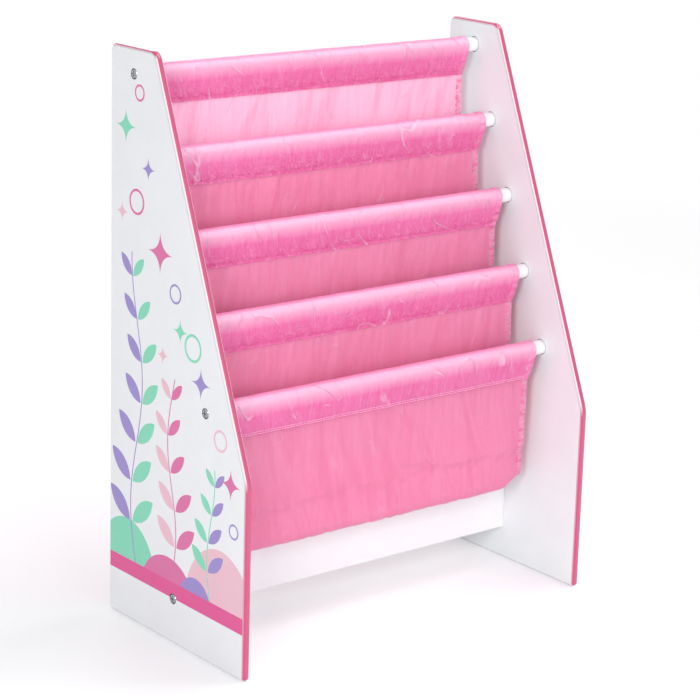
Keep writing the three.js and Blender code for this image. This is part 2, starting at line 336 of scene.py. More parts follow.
# Hills: middle, half width, height and ink. Stars: middle, reach and ink. Rings: middle, radius, line and ink.
HILLS = (
    (Spot(0.086, 0.052), 0.052, 0.058, Ink.MINT),
    (Spot(0.012, 0.050), 0.046, 0.040, Ink.ROSE),
    (Spot(-0.078, 0.050), 0.060, 0.074, Ink.BLUSH),
    (Spot(-0.036, 0.052), 0.028, 0.030, Ink.LILAC),
)
SPRIGS = (
    Sprig(Spot(0.070, 0.064), 0.330, 0.010, 0.260, 7, 0.044, Ink.LILAC, (Ink.MINT, Ink.LILAC)),
    Sprig(Spot(0.006, 0.064), 0.215, -0.008, 0.200, 5, 0.038, Ink.ROSE, (Ink.ROSE, Ink.BLUSH)),
    Sprig(Spot(-0.062, 0.064), 0.140, 0.006, 0.170, 4, 0.032, Ink.MINT, (Ink.LILAC, Ink.MINT)),
)
STARS = (
    (Spot(0.092, 0.520), 0.020, Ink.MINT),
    (Spot(0.052, 0.482), 0.013, Ink.LILAC),
    (Spot(0.030, 0.402), 0.024, Ink.ROSE),
    (Spot(0.098, 0.432), 0.012, Ink.BLUSH),
    (Spot(-0.006, 0.330), 0.014, Ink.MINT),
    (Spot(-0.042, 0.285), 0.018, Ink.LILAC),
    (Spot(-0.094, 0.196), 0.018, Ink.ROSE),
    (Spot(0.024, 0.299), 0.011, Ink.BLUSH),
)
RINGS = (
    (Spot(0.068, 0.556), 0.0075, 0.0022, Ink.ROSE),
    (Spot(0.072, 0.446), 0.0120, 0.0026, Ink.ROSE),
    (Spot(0.003, 0.366), 0.0090, 0.0022, Ink.LILAC),
    (Spot(-0.028, 0.318), 0.0130, 0.0028, Ink.MINT),
    (Spot(-0.076, 0.236), 0.0100, 0.0024, Ink.BLUSH),
    (Spot(-0.100, 0.150), 0.0070, 0.0020, Ink.LILAC),
)


@dataclass(frozen=True)
class Print:
    """The printed design: hills over a stripe, leafy sprigs, four-pointed stars and rings."""

    stripe_low: float = 0.0485
    stripe_high: float = 0.0655

    def draw(self, pad: BoardPad) -> Socket:
        """Draws the whole design.

        Args:
            pad: The tree.

        Returns:
            The printed colour.
        """
        colour: Value = Ink.WHITE.value
        for spot, width, height, ink in HILLS:
            scaled = pad.arrow("MULTIPLY", spot.away(pad), (1 / width, 1 / height, 0))
            inside = pad.sum("LESS_THAN", pad.arrow("LENGTH", scaled), 1.0)
            colour = pad.blend(inside, colour, ink.value)
        for sprig in SPRIGS:
            colour = sprig.draw(pad, colour)
        for spot, reach, ink in STARS:
            side, up, _ = pad.split(pad.arrow("ABSOLUTE", spot.away(pad)))
            spread = pad.sum("ADD", pad.sum("SQRT", side), pad.sum("SQRT", up))
            colour = pad.blend(pad.sum("LESS_THAN", spread, math.sqrt(reach)), colour, ink.value)
        for spot, radius, line, ink in RINGS:
            away = pad.arrow("LENGTH", spot.away(pad))
            colour = pad.blend(pad.sum("COMPARE", away, radius, line / 2), colour, ink.value)
        middle, half = (self.stripe_low + self.stripe_high) / 2, (self.stripe_high - self.stripe_low) / 2
        colour = pad.blend(pad.sum("COMPARE", pad.z, middle, half), colour, Ink.STRIPE.value)
        return pad.blend(pad.sum("LESS_THAN", pad.z, self.stripe_low), colour, Ink.WHITE.value)


@dataclass(frozen=True)
class BoardFinish:
    """Satin white board with pink edges; the outer faces carry the print."""

    name: str
    edge: Colour | None = None
    printed_from: float | None = None
    white: Colour = linear(240, 246, 247)
    # Bore walls: bare board, darkened to near black as painted shade in the gaps round the rods and screws.
    bare_core_and_shade: Colour = linear(54, 46, 42)
    # Deeper pink on the slanted and top edges: painted shade.
    painted_shade_edge: Colour = linear(194, 72, 114)
    arris: Colour = linear(222, 206, 216)
    # Pale colour painted on the middle facet of the slanted edges: a painted highlight.
    painted_slant_highlight: Colour = linear(228, 218, 224)
    roughness: float = 0.42
    coat: float = 0.12
    edge_roughness: float = 0.2
    upright_coat: float = 0.9
    slanted_coat: float = 0.2
    hole_reach: float = 0.011

    def material(self, holes: Sequence[Spot] = ()) -> bpy.types.Material:
        """Makes the material.

        Args:
            holes: Middles of the bored holes, whose walls stay bare.

        Returns:
            The material.
        """
        pad = BoardPad(self.name)
        colour: Value = self.white
        if self.printed_from is not None:
            outside = pad.sum("GREATER_THAN", pad.sum("ABSOLUTE", pad.x), self.printed_from)
            colour = pad.blend(outside, colour, Print().draw(pad))
        shade = pad.span(pad.grain(pad.place, 38.0, 4.0), 0.3, 0.7, 0.975, 1.0)
        grey = pad.put("CombineColor", {0: shade, 1: shade, 2: shade}).outputs[0]
        colour = pad.blend(1.0, colour, grey, "MULTIPLY")
        rough = pad.span(pad.grain(pad.place, 160.0, 3.0), 0.3, 0.7, self.roughness - 0.05, self.roughness + 0.07)
        coat: Value = self.coat
        if self.edge is not None:
            colour, rim, slanted = self.paint_edges(pad, colour, holes)
            rough = pad.put("Mix", {0: rim, 2: rough, 3: self.edge_roughness}, data_type="FLOAT").outputs[0]
            coat = pad.sum("MULTIPLY", rim, pad.span(slanted, 0.0, 1.0, self.upright_coat, self.slanted_coat))
        normal = pad.raise_by(pad.grain(pad.place, 900.0), 0.00005, strength=0.35)
        inputs = {"Base Color": colour, "Roughness": rough, "Normal": normal, "Coat Weight": coat}
        return pad.finish(pad.put("BsdfPrincipled", {**inputs, "Coat Roughness": 0.16}))

    def paint_edges(self, pad: BoardPad, colour: Value, holes: Sequence[Spot]) -> tuple[Socket, Socket, Socket]:
        """Paints the edges that face up or forwards, with a pale line along each arris, painted shade in deeper pink
        and a painted highlight on the slanted stretches, and darkens the bores, partly as painted shade.

        Args:
            pad: The tree.
            colour: The colour so far.
            holes: Middles of the bored holes.

        Returns:
            The colour so far, 1 where an edge is painted, and 1 where it slants.
        """
        aside, back, up = pad.split(pad.coordinates.outputs["Normal"])
        turned = pad.sum("ABSOLUTE", aside)
        solid: Value = 1.0
        for hole in holes:
            away = pad.arrow("LENGTH", hole.away(pad))
            solid = pad.sum("MULTIPLY", solid, pad.sum("GREATER_THAN", away, self.hole_reach))
        # Bore walls take the dark core colour: bare board and painted shade.
        in_bore = pad.sum("MULTIPLY", pad.sum("LESS_THAN", turned, 0.5), pad.sum("SUBTRACT", 1.0, solid))
        colour = pad.blend(in_bore, colour, self.bare_core_and_shade)
        level = pad.sum("SQRT", pad.sum("SUBTRACT", 1.0, pad.sum("MULTIPLY", aside, aside)))
        slope = pad.sum("DIVIDE", up, level)
        slanted = pad.span(slope, 0.02, 0.34)
        # Painted highlight: the middle facet of each slanted stretch is painted pale.
        painted_slant_highlight = pad.sum("MULTIPLY", slanted, pad.span(slope, 0.5, 0.8, 1.0, 0.0))
        faces_out = pad.sum("MULTIPLY", pad.sum("GREATER_THAN", up, back), solid)
        # Painted shade: the slanted and top edges turn a deeper pink.
        edge = pad.blend(slanted, self.edge, self.painted_shade_edge)
        # Pale line along each arris where the face's white wraps round, fuller on the slanted stretches as part of
        # the painted highlight there.
        arris = pad.blend(pad.span(slanted, 0.0, 1.0, 0.5, 0.0), self.arris, edge)
        for reach, paint in ((0.985, arris), (0.88, pad.blend(painted_slant_highlight, edge, self.painted_slant_highlight)), (0.6, edge)):
            rim = pad.sum("MULTIPLY", pad.sum("LESS_THAN", turned, reach), faces_out)
            colour = pad.blend(rim, colour, paint)
        return colour, rim, slanted


@dataclass(frozen=True)
class CoatFinish:
    """A smooth painted or plated surface with faint unevenness."""

    name: str
    colour: Colour
    roughness: float
    metallic: float = 0.0
    coat: float = 0.0
    wear: float = 0.04

    def material(self) -> bpy.types.Material:
        """Makes the material.

        Returns:
            The material.
        """
        pad = Pad(bpy.data.materials.new(self.name))
        place = pad.coordinates.outputs["Object"]
        dark = tuple(c * (1 - 2 * self.wear) for c in self.colour[:3]) + (1.0,)
        colour = pad.blend(pad.span(pad.grain(place, 60.0, 4.0), 0.35, 0.65), dark, self.colour)
        rough = pad.span(pad.grain(place, 400.0, 3.0), 0.3, 0.7, self.roughness * 0.8, self.roughness * 1.25)
        normal = pad.raise_by(pad.grain(place, 1400.0), 0.00003, strength=0.3)
        inputs = {"Base Color": colour, "Roughness": rough, "Normal": normal, "Metallic": self.metallic}
        return pad.finish(pad.put("BsdfPrincipled", {**inputs, "Coat Weight": self.coat, "Coat Roughness": 0.08}))


@dataclass(frozen=True)
class WoodFinish:
    """Bare beech with fine grain along X."""

    name: str
    pale: Colour = linear(222, 190, 148)
    dark: Colour = linear(184, 142, 98)
    grain_scales: Place = (60.0, 900.0, 900.0)

    def material(self) -> bpy.types.Material:
        """Makes the material.

        Returns:
            The material.
        """
        pad = Pad(bpy.data.materials.new(self.name))
        drawn = pad.put("Mapping", {0: pad.coordinates.outputs["Object"], 3: self.grain_scales}).outputs[0]
        streak = pad.grain(drawn, 1.0, 5.0, 0.4)
        colour = pad.blend(pad.span(streak, 0.35, 0.65), self.pale, self.dark)
        inputs = {"Base Color": colour, "Roughness": 0.7, "Normal": pad.raise_by(streak, 0.0001)}
        return pad.finish(pad.put("BsdfPrincipled", inputs))


@dataclass(frozen=True)
class Drawn:
    """A noise drawn out along the cloth: how fast it changes each way, its lean, detail and warp."""

    across: float
    along: float
    lean: float = 0.0
    detail: float = 2.0
    warp: float = 0.0

    def read(self, pad: ClothPad) -> Socket:
        """Adds the noise, read on the cloth's own map.

        Args:
            pad: The tree.

        Returns:
            A number around 0.5.
        """
        leaning = pad.sum("MULTIPLY_ADD", pad.across, self.across, pad.sum("MULTIPLY", pad.along, self.lean))
        drawn = pad.join(leaning, pad.sum("MULTIPLY", pad.along, self.along), 0.0)
        return pad.grain(drawn, 1.0, self.detail, self.warp)


SLUB = Drawn(420.0, 14.0, detail=3.0)
STREAK = Drawn(240.0, 48.0, lean=70.0, detail=3.0, warp=0.9)
FOLD = Drawn(62.0, 9.0, lean=14.0, warp=0.7)
CRUMPLE = Drawn(190.0, 170.0, lean=90.0, warp=1.5)
TUCK = Drawn(90.0, 210.0, detail=1.0)
SWELL = Drawn(30.0, 17.0, lean=16.0, detail=1.0, warp=0.6)


@dataclass(frozen=True)
class ClothFinish:
    """Thin woven polyester with a soft sheen, which lets some light through."""

    name: str
    colour: Colour
    pale: Colour
    deep: Colour
    doubled: Colour
    see_through: float
    crinkle: float
    half_width: float
    # Strength of the highlight painted over a sleeve's rod.
    painted_rod_highlight: float = 0.0
    streaks: float = 0.1
    # Strength of the shade painted along broad folds.
    folds: float = 0.08
    hem_shade: float = 0.4
    creased: float = 0.3
    # Strength of the deeper colour, painted shade and painted highlights crumpled near a sleeve's seam.
    gathered: float = 1.0
    roughness: float = 0.42
    thread_pitch: float = 0.0009
    shadow: Colour = linear(226, 74, 146)
    outside: Colour | None = None

    def material(self) -> bpy.types.Material:
        """Makes the material, which reads the cloth's own map in metres.

        Returns:
            The material.
        """
        pad = ClothPad(self.name)
        slub, streak, fold = (drawn.read(pad) for drawn in (SLUB, STREAK, FOLD))
        cloud = pad.grain(pad.flat, 16.0, 3.0)
        drift = pad.sum("ADD", pad.sum("MULTIPLY", slub, 0.55), pad.sum("MULTIPLY", cloud, 0.45))
        colour = pad.blend(pad.span(drift, 0.3, 0.62), self.deep, self.colour)
        if self.outside is not None:
            outer_skin = pad.put("Attribute", {}, attribute_name=OUTER_SKIN).outputs["Fac"]
            colour = pad.blend(outer_skin, colour, self.outside)
        colour = pad.blend(pad.span(streak, 0.48, 0.32, 0.0, self.streaks * 0.8), colour, self.deep)
        # Painted shade along broad folds.
        colour = pad.blend(pad.span(fold, 0.52, 0.36, 0.0, self.folds), colour, self.doubled)
        if self.painted_rod_highlight > 0:
            colour = self.round_rod(pad, colour)
        colour = pad.blend(pad.span(streak, 0.54, 0.68, 0.0, self.streaks), colour, self.pale)
        colour = self.hems(pad, colour)
        crease = self.small_creases(pad)
        # Painted highlight along the fine creases.
        colour = pad.blend(pad.sum("MULTIPLY", crease, 0.42), colour, self.pale)
        long_crease, beside = self.long_creases(pad)
        # Painted shade beside each long crease, then a painted highlight along its ridge.
        colour = pad.blend(beside, colour, self.doubled)
        colour = pad.blend(long_crease, colour, self.pale)
        normal = pad.raise_by(self.weave(pad), 0.00006, strength=0.35)
        for height, depth, strength in (
            (slub, 0.0002, 0.35),
            (crease, 0.0006, 0.8),
            (streak, 0.0012, min(1.0, 1.6 * self.streaks)),
            (long_crease, 0.0009, 0.9),
        ):
            normal = pad.raise_by(height, depth, under=normal, strength=strength)
        front = pad.put(
            "BsdfPrincipled",
            {
                "Base Color": colour,
                "Roughness": self.roughness,
                "Normal": normal,
                "Sheen Weight": 0.35,
                "Sheen Roughness": 0.4,
                "Sheen Tint": self.pale,
                "Specular IOR Level": 0.7,
                "IOR": 1.5,
            },
        )
        through = pad.put("BsdfTranslucent", {"Color": colour, "Normal": normal})
        return pad.finish(pad.put("MixShader", {0: self.see_through, 1: front.outputs[0], 2: through.outputs[0]}))

    def round_rod(self, pad: ClothPad, colour: Socket) -> Socket:
        """Paints a highlight on a sleeve beside the top of its rod, and deepens it towards its seam with crumpled
        painted shade and painted highlights.

        Args:
            pad: The tree, whose map is 0 along the top of the rod.
            colour: The colour so far.

        Returns:
            The colour so far.
        """
        from_top = pad.sum("ABSOLUTE", pad.along)
        # Painted highlight: pale over the rod's upper front, fading down the legs.
        beside_top = pad.span(from_top, 0.002, 0.009, 0.35, 1.0)
        sheen = pad.sum("MULTIPLY", beside_top, pad.span(from_top, 0.011, 0.025, self.painted_rod_highlight, 0.0))
        colour = pad.blend(sheen, colour, self.pale)
        # Deeper towards the seam, for the doubled cloth and as painted shade.
        colour = pad.blend(pad.span(from_top, 0.026, 0.044, 0.0, 0.28 * self.gathered), colour, self.doubled)
        # Crumpled painted shade and painted highlights near the seam.
        crumple = CRUMPLE.read(pad)
        low = pad.span(from_top, 0.024, 0.038)
        dark = pad.span(crumple, 0.5, 0.36, 0.0, 0.55 * self.gathered)
        colour = pad.blend(pad.sum("MULTIPLY", low, dark), colour, self.shadow)
        light = pad.span(crumple, 0.56, 0.7, 0.0, 0.22 * self.gathered)
        return pad.blend(pad.sum("MULTIPLY", low, light), colour, self.pale)

    def hems(self, pad: ClothPad, colour: Socket) -> Socket:
        """Colours the side hems, where the cloth is double and drawn up in tucks, with the deeper double cloth and
        painted shade broken by painted highlights across the tucks.

        Args:
            pad: The tree, whose map is a whole number and a half in the middle of each piece.
            colour: The colour so far.

        Returns:
            The colour so far.
        """
        from_middle = pad.sum("ABSOLUTE", pad.sum("SUBTRACT", pad.sum("FRACT", pad.across), 0.5))
        inner, soft = self.half_width - HEM, 0.0004
        in_hem = pad.span(from_middle, inner - soft, inner + soft, 0.0, self.hem_shade)
        # Across the tucks: deeper double cloth and painted shade in turn with painted highlights.
        tucked = pad.blend(pad.span(TUCK.read(pad), 0.32, 0.58), self.doubled, self.pale)
        return pad.blend(in_hem, colour, tucked)

    def small_creases(self, pad: ClothPad) -> Socket:
        """Draws fine creases that meet at corners, in patches, for a painted highlight and a relief.

        Args:
            pad: The tree.

        Returns:
            Their strength.
        """
        drift = pad.put("TexNoise", {"Vector": pad.flat, "Scale": 22.0, "Detail": 2.0}).outputs["Color"]
        bent = pad.arrow("MULTIPLY_ADD", drift, (0.04, 0.04, 0.0), pad.flat)
        leaning = pad.put("Mapping", {0: bent, 2: (0.0, 0.0, 0.4), 3: (78.0, 32.0, 1.0)}).outputs[0]
        inputs = {"Vector": leaning, "Scale": 1.0}
        cell = pad.put("TexVoronoi", inputs, feature="DISTANCE_TO_EDGE", voronoi_dimensions="2D").outputs["Distance"]
        patchy = pad.span(pad.grain(pad.flat, 44.0), 0.44, 0.64)
        crease = pad.sum("MULTIPLY", pad.span(cell, 0.0, 0.03, 1.0, 0.0), patchy)
        return pad.sum("MULTIPLY", crease, self.crinkle)

    def long_creases(self, pad: ClothPad) -> tuple[Socket, Socket]:
        """Draws single curved creases, each a painted highlight along a ridge with a painted shade line beside it.

        Args:
            pad: The tree.

        Returns:
            The strength of the painted highlights on the ridges and of the painted shade lines.
        """
        from_line = pad.sum("SUBTRACT", SWELL.read(pad), 0.5)
        here = pad.span(pad.grain(pad.flat, 33.0, 1.0), 0.52, 0.62)
        ridge = pad.span(pad.sum("ABSOLUTE", from_line), 0.0, 0.015, self.creased, 0.0)
        off_line = pad.sum("ABSOLUTE", pad.sum("SUBTRACT", from_line, 0.024))
        beside = pad.span(off_line, 0.0, 0.018, 0.4 * self.creased, 0.0)
        return pad.sum("MULTIPLY", ridge, here), pad.sum("MULTIPLY", beside, here)

    def weave(self, pad: ClothPad) -> Socket:
        """Draws the threads, over and under each other.

        Args:
            pad: The tree.

        Returns:
            Their relief, 0 to 1.
        """
        turn = 2 * math.pi / self.thread_pitch
        warp, weft = (pad.sum("SINE", pad.sum("MULTIPLY", way, turn)) for way in (pad.across, pad.along))
        return pad.sum("MULTIPLY_ADD", pad.sum("MULTIPLY", warp, weft), 0.5, 0.5)


PINK = linear(243, 117, 180)
DEEP_PINK = linear(237, 90, 160)
PALE_PINK = linear(255, 206, 231)
SHEER_PINK = linear(254, 170, 210)
SHEER_DEEP_PINK = linear(252, 157, 201)
# The top pocket's pinks are paler than the other pockets': painted light showing through the cloth from behind.
BACKLIT_PAINTED_PINK = linear(253, 225, 240)
BACKLIT_PAINTED_DEEP_PINK = linear(250, 213, 233)
OUTSIDE_PINK = linear(254, 180, 215)
HEM_PINK = linear(238, 96, 162)
CURLED_PINK = linear(244, 134, 184)
EDGE_PINK = linear(204, 74, 120)
SLEEVE_CLOTH = ClothFinish(
    name="sleeve_cloth",
    colour=PINK,
    pale=PALE_PINK,
    deep=DEEP_PINK,
    doubled=HEM_PINK,
    see_through=0.1,
    crinkle=0.6,
    half_width=SLEEVE_HALF,
    painted_rod_highlight=0.68,
    streaks=0.13,
    folds=0.1,
    hem_shade=0.2,
    creased=0.75,
)
# The lowest sleeve gets less of the painted shading near its seam.
LOWEST_SLEEVE_CLOTH = replace(SLEEVE_CLOTH, name="lowest_sleeve_cloth", gathered=0.3)
POCKET_CLOTH = ClothFinish(
    name="pocket_cloth",
    colour=SHEER_PINK,
    pale=PALE_PINK,
    deep=SHEER_DEEP_PINK,
    doubled=CURLED_PINK,
    see_through=0.42,
    crinkle=0.3,
    half_width=SEAM_HALF,
    folds=0.3,
    hem_shade=0.6,
)
# The top pocket: paler colours as painted light through the cloth from behind, with a deeper pink on its outer skin.
TOP_POCKET_CLOTH = replace(
    POCKET_CLOTH,
    name="top_pocket_cloth",
    colour=BACKLIT_PAINTED_PINK,
    deep=BACKLIT_PAINTED_DEEP_PINK,
    doubled=HEM_PINK,
    see_through=0.45,
    streaks=0.25,
    folds=0.17,
    hem_shade=0.65,
    outside=OUTSIDE_PINK,
)
THREAD = CoatFinish("pale_thread", linear(255, 206, 228), 0.6)
SEAM_THREAD = CoatFinish("seam_thread", linear(240, 120, 178), 0.6)
HEM_THREAD = CoatFinish("hem_thread", linear(204, 72, 128), 0.6)
PANEL = BoardFinish("panel_board", edge=EDGE_PINK, printed_from=0.2265)
BOARD = BoardFinish("cross_board_white", white=linear(249, 250, 252))
ROD = CoatFinish("rod_white", linear(250, 250, 252), 0.22, coat=0.4, wear=0.01)
PLATED = CoatFinish("plated_steel", linear(168, 170, 176), 0.15, metallic=1.0)
BEECH = WoodFinish("beech")


def deselect() -> None:
    """Lets go of every object, so that an operator acts only on what is picked next."""
    if bpy.context.mode != "OBJECT":
        bpy.ops.object.mode_set(mode="OBJECT")
    for thing in bpy.context.selected_objects:
        thing.select_set(False)


def pick(thing: bpy.types.Object) -> None:
    """Selects one object and makes it the active one.

    Args:
        thing: The object.
    """
    deselect()
    thing.select_set(True)
    bpy.context.view_layer.objects.active = thing


def settle_modifiers(thing: bpy.types.Object) -> None:
    """Applies every modifier of an object.

    Args:
        thing: The object.
    """
    pick(thing)
    for modifier in list(thing.modifiers):
        bpy.ops.object.modifier_apply(modifier=modifier.name)


def dress(thing: bpy.types.Object, material: bpy.types.Material) -> None:
    """Gives a new piece of the sling its material and its slot, and lets it ride on the shelf.

    Args:
        thing: The piece.
        material: Its material.
    """
    thing.data.materials.clear()
    thing.data.materials.append(material)
    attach(thing, BODY)


def ease(values: np.ndarray) -> np.ndarray:
    """Smooth step from 0 to 1: under 0 gives 0, over 1 gives 1."""
    held = np.clip(values, 0, 1)
    return held * held * (3 - 2 * held)


def wander(values: np.ndarray, scale: float, seed: float) -> np.ndarray:
    """Smooth noise from about -1 to 1 at points, one row each, that changes faster at a larger scale."""
    return np.array([noise.noise(Vector((p[0] * scale, p[1] * scale, seed))) for p in values])


def wander_along(values: np.ndarray, scale: float, seed: float) -> np.ndarray:
    """Smooth noise from about -1 to 1 at each number of a row."""
    return wander(np.stack([values, values], 1), scale, seed)


def travelled(line: np.ndarray) -> np.ndarray:
    """How far along a line of points each of them lies."""
    return np.concatenate([[0], np.cumsum(np.linalg.norm(np.diff(line, axis=0), axis=1))])


def read_at(where: np.ndarray | float, along: np.ndarray, values: np.ndarray) -> np.ndarray:
    """Reads every column of a line's values at one place, or at several, along it."""
    return np.stack([np.interp(where, along, column) for column in values.T], -1)


def refine(values: np.ndarray, axis: int, curved: bool) -> np.ndarray:
    """Puts a new point between each two along one axis.

    Args:
        values: The values.
        axis: The axis.
        curved: True to follow a smooth curve through four points, False to halve straight lines.

    Returns:
        The values with the new ones between them.
    """
    a = np.moveaxis(values, axis, 0)
    middle = (a[:-1] + a[1:]) / 2
    if curved:
        padded = np.concatenate([2 * a[:1] - a[1:2], a, 2 * a[-1:] - a[-2:-1]])
        middle = (9 * (a[:-1] + a[1:]) - padded[:-3] - padded[3:]) / 16
    out = np.empty((2 * len(a) - 1, *a.shape[1:]))
    out[0::2], out[1::2] = a, middle
    return np.moveaxis(out, 0, axis)


class ClothGrid:
    """A sheet of cloth as rows of points: columns run across the shelf, rows run down the cloth."""

    def __init__(self, points: np.ndarray, flat: np.ndarray) -> None:
        """Keeps the points, rows by columns by 3, and their places on the flat cut, rows by columns by 2."""
        self.points = points
        self.flat = flat

    def mesh(self, name: str) -> bpy.types.Object:
        """Makes the sheet as a mesh object from a grid.

        Args:
            name: Its name.

        Returns:
            The object.
        """
        rows, columns = self.points.shape[:2]
        deselect()
        bpy.ops.mesh.primitive_grid_add(x_subdivisions=columns - 1, y_subdivisions=rows - 1, size=2)
        thing = bpy.context.active_object
        thing.name = name
        thing.data.name = name
        at = np.zeros(len(thing.data.vertices) * 3, np.float32)
        thing.data.vertices.foreach_get("co", at)
        at = at.reshape(-1, 3)
        self.column = np.rint((at[:, 0] + 1) / 2 * (columns - 1)).astype(int)
        self.row = np.rint((1 - at[:, 1]) / 2 * (rows - 1)).astype(int)
        thing.data.vertices.foreach_set("co", self.points[self.row, self.column].astype(np.float32).ravel())
        loops = np.zeros(len(thing.data.loops), int)
        thing.data.loops.foreach_get("vertex_index", loops)
        own_map = self.flat[self.row[loops], self.column[loops]]
        thing.data.uv_layers.active.data.foreach_set("uv", own_map.astype(np.float32).ravel())
        thing.data.update()
        return thing

    def read(self, thing: bpy.types.Object) -> np.ndarray:
        """Reads the places back from a mesh that mesh() made, modifiers included.

        Args:
            thing: The object.

        Returns:
            The places, rows by columns by 3.
        """
        shown = thing.evaluated_get(bpy.context.evaluated_depsgraph_get())
        at = np.zeros(len(shown.data.vertices) * 3, np.float32)
        shown.data.vertices.foreach_get("co", at)
        found = np.zeros(self.points.shape)
        found[self.row, self.column] = at.reshape(-1, 3)
        return found

    def finer(self) -> "ClothGrid":
        """Doubles the rows and columns along smooth curves.

        Returns:
            The finer sheet.
        """
        points, flat = self.points, self.flat
        for axis in (0, 1):
            points, flat = refine(points, axis, True), refine(flat, axis, False)
        return ClothGrid(points, flat)

    def normals(self) -> np.ndarray:
        """The sheet's normal at each point.

        Returns:
            Unit vectors, rows by columns by 3.
        """
        down = np.gradient(self.points, axis=0)
        side = np.gradient(self.points, axis=1)
        normal = np.cross(side, down)
        return normal / np.linalg.norm(normal, axis=2, keepdims=True)

    def from_side(self) -> np.ndarray:
        """How far each point is from the nearer side edge, rows by columns."""
        across = self.flat[..., 0]
        return np.minimum(across - across[:1, :1], across[:1, -1:] - across)


@dataclass(frozen=True)
class Settling:
    """How a cloth is let go under its own weight: how slack it is cut, for how long and how far it may move."""

    slack: float
    frames: int
    most: float
    quality: int = 6
    mass: float = 0.08
    stretch_stiffness: float = 18.0
    shear_stiffness: float = 6.0
    bending_stiffness: float = 0.15
    hold_stiffness: float = 4.0

    def run(self, sheet: ClothGrid, hold: np.ndarray) -> np.ndarray:
        """Lets the cloth settle.

        Args:
            sheet: The cloth at its start.
            hold: How firmly each point is held, 0 to 1, rows by columns.

        Returns:
            The settled places, rows by columns by 3.
        """
        thing = sheet.mesh("settling_cloth")
        group = thing.vertex_groups.new(name="held")
        for index, weight in enumerate(hold[sheet.row, sheet.column]):
            group.add([index], float(weight), "REPLACE")
        modifier = thing.modifiers.new("cloth", "CLOTH")
        settings = modifier.settings
        settings.quality = self.quality
        settings.mass = self.mass
        settings.tension_stiffness = settings.compression_stiffness = self.stretch_stiffness
        settings.shear_stiffness = self.shear_stiffness
        settings.bending_stiffness = self.bending_stiffness
        settings.vertex_group_mass = group.name
        settings.pin_stiffness = self.hold_stiffness
        settings.shrink_min = -self.slack
        modifier.collision_settings.use_collision = False
        modifier.point_cache.frame_start = 1
        modifier.point_cache.frame_end = self.frames
        for frame in range(1, self.frames + 1):
            bpy.context.scene.frame_set(frame)
        settled = sheet.read(thing)
        bpy.data.objects.remove(thing)
        bpy.context.scene.frame_set(1)
        moved = settled - sheet.points
        far = np.linalg.norm(moved, axis=2, keepdims=True)
        return sheet.points + moved * np.minimum(1, self.most / np.maximum(far, 1e-9))


@dataclass(frozen=True)
class Stitches:
    """Rows of thread stitches on a cloth."""

    length: float
    gap: float
    thickness: float
    plump: float = 1.15
    plump_within: float = 0.45

    def one(self) -> bpy.types.Object:
        """Models one stitch: a plump bar along X with rounded ends.

        Returns:
            The stitch.
        """
        deselect()
        bpy.ops.mesh.primitive_uv_sphere_add(segments=6, ring_count=5, radius=1)
        bar = bpy.context.active_object
        bpy.ops.transform.rotate(value=math.pi / 2, orient_axis="Y", center_override=(0, 0, 0))
        bpy.ops.object.transform_apply(location=True, rotation=True, scale=True)
        bpy.ops.transform.resize(value=(self.length / 2, self.thickness / 2, self.thickness / 2))
        bpy.ops.object.transform_apply(location=True, rotation=True, scale=True)
        for point in bar.data.vertices:
            if abs(point.co.x) < self.length * self.plump_within:
                point.co.y *= self.plump
                point.co.z *= self.plump
        bpy.ops.object.shade_smooth()
        return bar

    def sew(self, name: str, lines: list[tuple[np.ndarray, np.ndarray]]) -> bpy.types.Object:
        """Sews along lines: one stitch is modelled, and each of the others is a copy with its own mesh.

        Args:
            name: The piece's name.
            lines: For each, its points and the cloth's normals there.

        Returns:
            The stitches as one object.
        """
        model = self.one()
        copies = []
        for path, normals in lines:
            steps = travelled(path)
            count = int(steps[-1] / (self.length + self.gap))
            for i in range(count):
                middle = (i + 0.5) * steps[-1] / count
                ends = [Vector(read_at(middle + d * self.length / 2, steps, path)) for d in (-1, 1)]
                along = (ends[1] - ends[0]).normalized()
                up = Vector(read_at(middle, steps, normals))
                up = (up - along * up.dot(along)).normalized()
                turn = Matrix((along, up.cross(along), up)).transposed().to_4x4()
                stitch = model.copy()
                stitch.data = model.data.copy()
                stitch.matrix_world = Matrix.Translation((ends[0] + ends[1]) / 2) @ turn
                copies.append(stitch)
        bpy.data.objects.remove(model)
        deselect()
        for stitch in copies:
            bpy.context.scene.collection.objects.link(stitch)
            stitch.select_set(True)
        thing = copies[0]
        bpy.context.view_layer.objects.active = thing
        bpy.ops.object.join()
        bpy.ops.object.transform_apply(location=True, rotation=True, scale=True)
        thing.name = name
        thing.data.name = name
        return thing


@dataclass(frozen=True)
class Ripple:
    """Even waves along a seam or a hem, with a rhythm that drifts, and how far from it they reach."""

    length: float
    depth: float
    reach: float
    drift_scale: float
    drift_turn: float = 3.0

    def read(self, along: np.ndarray, drift: np.ndarray) -> np.ndarray:
        """The waves, from -1 to 1, at places along the line where the rhythm is off by so much."""
        return np.sin(2 * math.pi * along / self.length + self.drift_turn * drift)


SLEEVE_SETTLING = Settling(slack=0.012, frames=14, most=0.0007)
POCKET_SETTLING = Settling(slack=0.008, frames=16, most=0.0022)
SEAM_STITCHES = Stitches(length=0.0031, gap=0.0004, thickness=0.0006)
HEM_STITCHES = Stitches(length=0.0022, gap=0.0014, thickness=0.0013)
SEAM_RIPPLE = Ripple(length=0.0085, depth=0.0004, reach=0.005, drift_scale=25)
HEM_RIPPLE = Ripple(length=0.0074, depth=0.0009, reach=HEM * 1.7, drift_scale=30)
# Which rows of a sleeve and of a pocket have hem stitches beside them, and which columns are sewn at a seam.
SLEEVE_SEWN, POCKET_SEWN, SEAM_SEWN = slice(8, -8), slice(6, -6), slice(4, -4)


